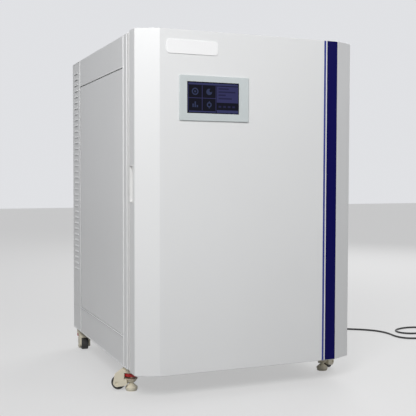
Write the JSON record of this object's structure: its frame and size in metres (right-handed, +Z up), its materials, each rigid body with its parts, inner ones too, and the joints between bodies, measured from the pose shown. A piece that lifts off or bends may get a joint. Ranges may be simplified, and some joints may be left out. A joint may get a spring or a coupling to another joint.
{
  "type": "carbon dioxide incubator",
  "caption": "Floor-standing cell culture incubator: bevelled outer door with touch screen, inner glass door, slotted shelves, humidity pan and levelling casters.",
  "frame": {"origin": "on the floor, under the middle of the body without its mains lead", "axes": "+Z up, +X to the right seen from the front, the door faces -Y"},
  "size_m": [1.4418, 0.9468, 1.008],
  "materials": {
    "white_coat": "fine textured powder coat",
    "inner_white": "moulded, satin",
    "zinc_steel": "galvanised",
    "stainless": "brushed stainless",
    "foam": "closed-cell foam",
    "grey_seal": "silicone",
    "white_seal": "translucent silicone",
    "clear_glass": "toughened glass",
    "silver_plastic": "silver, satin",
    "display": "dark display glass",
    "blank_badge": "glossy white",
    "navy_stripe": "film",
    "filter_media": "pleated filter in its frame",
    "dark_metal": "cast, dark",
    "grey_plastic": "moulded",
    "green_board": "solder-masked board",
    "brass": "turned",
    "black_plastic": "moulded",
    "black_cord": "moulded sheath",
    "cream_nylon": "moulded nylon",
    "black_tyre": "moulded tread",
    "red_plastic": "moulded"
  },
  "bodies": {
    "cabinet": {"cabinet_shell": "white_coat", "left_side_panel": "white_coat", "right_side_panel": "white_coat", "left_rear_post": "white_coat", "right_rear_post": "white_coat", "rear_panel": "white_coat", "base_tray": "zinc_steel", "front_frame": "inner_white", "chamber_liner": "stainless", "chamber_insulation": "foam", "inner_door_seal": "white_seal", "shelf_racks": "stainless", "air_duct_cover": "stainless", "hepa_filter": "filter_media", "fan_motor": "dark_metal", "chamber_sensors": "grey_plastic", "control_board": "green_board", "access_port_sleeve": "grey_plastic", "gas_inlet": "brass", "mains_inlet": "black_plastic", "hinge_brackets": "white_coat", "caster_plates": "zinc_steel", "panel_screws": "zinc_steel", "mains_lead": "black_cord", "mains_connector": "black_cord", "mains_plug": "black_cord"},
    "outer_door": {"door_skin": "white_coat", "door_inner_panel": "inner_white", "door_gasket": "grey_seal", "door_handle_cup": "inner_white", "screen_bezel": "silver_plastic", "touch_screen": "display", "door_badge": "blank_badge", "door_stripes": "navy_stripe"},
    "glass_door": {"inner_door_glass": "clear_glass", "inner_door_hinges": "stainless"},
    "glass_door_latch": {"inner_door_knob": "grey_plastic"},
    "shelf_1": {"shelf_1": "stainless"},
    "shelf_2": {"shelf_2": "stainless"},
    "shelf_3": {"shelf_3": "stainless"},
    "water_pan": {"water_pan": "stainless"},
    "fan_impeller": {"fan_impeller": "grey_plastic"},
    "power_rocker": {"power_rocker": "black_plastic"},
    "access_port_plug": {"access_port_plug": "white_seal"},
    "front_left_caster_housing": {"front_left_caster_housing": "cream_nylon"},
    "front_left_caster_wheel": {"front_left_caster_wheel": "black_tyre"},
    "front_left_caster_thumb": {"front_left_caster_thumb": "red_plastic"},
    "front_left_caster_foot": {"front_left_caster_foot": "cream_nylon"},
    "front_right_caster_housing": {"front_right_caster_housing": "cream_nylon"},
    "front_right_caster_wheel": {"front_right_caster_wheel": "black_tyre"},
    "front_right_caster_thumb": {"front_right_caster_thumb": "red_plastic"},
    "front_right_caster_foot": {"front_right_caster_foot": "cream_nylon"},
    "rear_left_caster_housing": {"rear_left_caster_housing": "cream_nylon"},
    "rear_left_caster_wheel": {"rear_left_caster_wheel": "black_tyre"},
    "rear_left_caster_thumb": {"rear_left_caster_thumb": "red_plastic"},
    "rear_left_caster_foot": {"rear_left_caster_foot": "cream_nylon"},
    "rear_right_caster_housing": {"rear_right_caster_housing": "cream_nylon"},
    "rear_right_caster_wheel": {"rear_right_caster_wheel": "black_tyre"},
    "rear_right_caster_thumb": {"rear_right_caster_thumb": "red_plastic"},
    "rear_right_caster_foot": {"rear_right_caster_foot": "cream_nylon"}
  },
  "joints": [
    {"name": "outer_door_hinge", "type": "hinge", "parent": "cabinet", "child": "outer_door", "pos_m": [0.329, -0.3285, 0.543], "axis": [0, 0, 1], "range_deg": [0, 110]},
    {"name": "glass_door_hinge", "type": "hinge", "parent": "cabinet", "child": "glass_door", "pos_m": [0.2775, -0.2855, 0.543], "axis": [0, 0, 1], "range_deg": [0, 88]},
    {"name": "glass_door_latch_turn", "type": "hinge", "parent": "glass_door", "child": "glass_door_latch", "pos_m": [-0.26, -0.2885, 0.543], "axis": [0, -1, 0], "range_deg": [0, 90]},
    {"name": "shelf_1_slide", "type": "slide", "parent": "cabinet", "child": "shelf_1", "axis": [0, -1, 0], "range_m": [0, 0.04]},
    {"name": "shelf_2_slide", "type": "slide", "parent": "cabinet", "child": "shelf_2", "axis": [0, -1, 0], "range_m": [0, 0.04]},
    {"name": "shelf_3_slide", "type": "slide", "parent": "cabinet", "child": "shelf_3", "axis": [0, -1, 0], "range_m": [0, 0.04]},
    {"name": "water_pan_slide", "type": "slide", "parent": "cabinet", "child": "water_pan", "axis": [0, -1, 0], "range_m": [0, 0.05]},
    {"name": "fan_spin", "type": "hinge", "parent": "cabinet", "child": "fan_impeller", "pos_m": [0, 0.2145, 0.758], "axis": [0, 1, 0], "continuous": true},
    {"name": "power_rocker_tilt", "type": "hinge", "parent": "cabinet", "child": "power_rocker", "pos_m": [0.172, 0.3765, 0.212], "axis": [-1, 0, 0], "range_deg": [0, 12]},
    {"name": "access_port_plug_pull", "type": "slide", "parent": "cabinet", "child": "access_port_plug", "axis": [0, 1, 0], "range_m": [0, 0.06]},
    {"name": "front_left_swivel", "type": "hinge", "parent": "cabinet", "child": "front_left_caster_housing", "pos_m": [-0.3135, -0.2605, 0.082], "axis": [0, 0, 1], "continuous": true},
    {"name": "front_left_wheel_roll", "type": "hinge", "parent": "front_left_caster_housing", "child": "front_left_caster_wheel", "pos_m": [-0.34463, -0.2387, 0.022], "axis": [-0.5736, -0.8192, 0], "continuous": true},
    {"name": "front_left_thumb_turn", "type": "hinge", "parent": "front_left_caster_housing", "child": "front_left_caster_thumb", "pos_m": [-0.3135, -0.2605, 0.047], "axis": [0, 0, 1], "range_deg": [-540, 360]},
    {"name": "front_left_foot_screw", "type": "slide", "parent": "front_left_caster_housing", "child": "front_left_caster_foot", "axis": [0, 0, -1], "range_m": [-0.006, 0.004]},
    {"name": "front_right_swivel", "type": "hinge", "parent": "cabinet", "child": "front_right_caster_housing", "pos_m": [0.3135, -0.2605, 0.082], "axis": [0, 0, 1], "continuous": true},
    {"name": "front_right_wheel_roll", "type": "hinge", "parent": "front_right_caster_housing", "child": "front_right_caster_wheel", "pos_m": [0.34463, -0.2387, 0.022], "axis": [-0.5736, 0.8192, 0], "continuous": true},
    {"name": "front_right_thumb_turn", "type": "hinge", "parent": "front_right_caster_housing", "child": "front_right_caster_thumb", "pos_m": [0.3135, -0.2605, 0.047], "axis": [0, 0, 1], "range_deg": [-540, 360]},
    {"name": "front_right_foot_screw", "type": "slide", "parent": "front_right_caster_housing", "child": "front_right_caster_foot", "axis": [0, 0, -1], "range_m": [-0.006, 0.004]},
    {"name": "rear_left_swivel", "type": "hinge", "parent": "cabinet", "child": "rear_left_caster_housing", "pos_m": [-0.3135, 0.34, 0.082], "axis": [0, 0, 1], "continuous": true},
    {"name": "rear_left_wheel_roll", "type": "hinge", "parent": "rear_left_caster_housing", "child": "rear_left_caster_wheel", "pos_m": [-0.31681, 0.30214, 0.022], "axis": [0.9962, -0.0872, 0], "continuous": true},
    {"name": "rear_left_thumb_turn", "type": "hinge", "parent": "rear_left_caster_housing", "child": "rear_left_caster_thumb", "pos_m": [-0.3135, 0.34, 0.047], "axis": [0, 0, 1], "range_deg": [-540, 360]},
    {"name": "rear_left_foot_screw", "type": "slide", "parent": "rear_left_caster_housing", "child": "rear_left_caster_foot", "axis": [0, 0, -1], "range_m": [-0.006, 0.004]},
    {"name": "rear_right_swivel", "type": "hinge", "parent": "cabinet", "child": "rear_right_caster_housing", "pos_m": [0.3135, 0.34, 0.082], "axis": [0, 0, 1], "continuous": true},
    {"name": "rear_right_wheel_roll", "type": "hinge", "parent": "rear_right_caster_housing", "child": "rear_right_caster_wheel", "pos_m": [0.31019, 0.30214, 0.022], "axis": [0.9962, -0.0872, 0], "continuous": true},
    {"name": "rear_right_thumb_turn", "type": "hinge", "parent": "rear_right_caster_housing", "child": "rear_right_caster_thumb", "pos_m": [0.3135, 0.34, 0.047], "axis": [0, 0, 1], "range_deg": [-540, 360]},
    {"name": "rear_right_foot_screw", "type": "slide", "parent": "rear_right_caster_housing", "child": "rear_right_caster_foot", "axis": [0, 0, -1], "range_m": [-0.006, 0.004]}
  ],
  "couplings": [
    {"joint": "glass_door_hinge", "follows": "outer_door_hinge", "ratio": 0.8},
    {"joint": "front_left_foot_screw", "follows": "front_left_thumb_turn", "m_per_rad": 0.00063662},
    {"joint": "front_right_foot_screw", "follows": "front_right_thumb_turn", "m_per_rad": 0.00063662},
    {"joint": "rear_left_foot_screw", "follows": "rear_left_thumb_turn", "m_per_rad": 0.00063662},
    {"joint": "rear_right_foot_screw", "follows": "rear_right_thumb_turn", "m_per_rad": 0.00063662}
  ]
}
